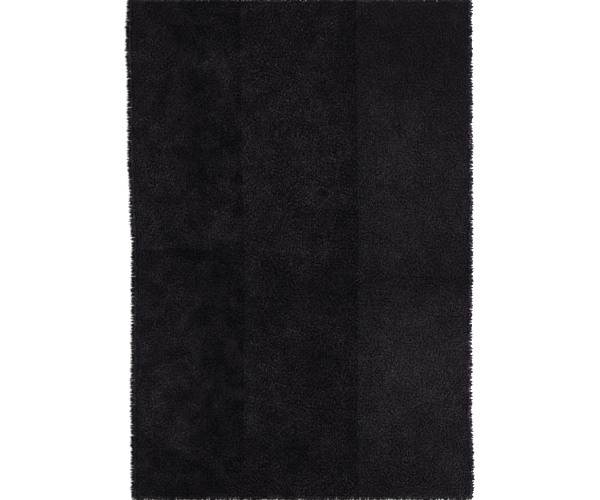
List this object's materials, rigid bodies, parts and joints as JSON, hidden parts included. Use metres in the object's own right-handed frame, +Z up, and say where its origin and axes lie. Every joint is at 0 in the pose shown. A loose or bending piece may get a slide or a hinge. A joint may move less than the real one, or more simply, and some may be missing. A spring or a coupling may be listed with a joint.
{
  "type": "short pile rug",
  "caption": "Rectangular short pile rug lying flat, with an uneven pile, low fold ridges and locks of pile hanging over its hem.",
  "frame": {"origin": "middle of the outline on the floor, under the flat underside", "axes": "+Z up out of the pile, +Y along the long side towards the top of the picture, +X across to the right of the picture"},
  "size_m": [1.3618, 1.9688, 0.0227],
  "materials": {
    "pile": "black polyester pile, matt with a faint sheen, slightly violet"
  },
  "bodies": {
    "root": {"rug": "pile"}
  },
  "joints": []
}
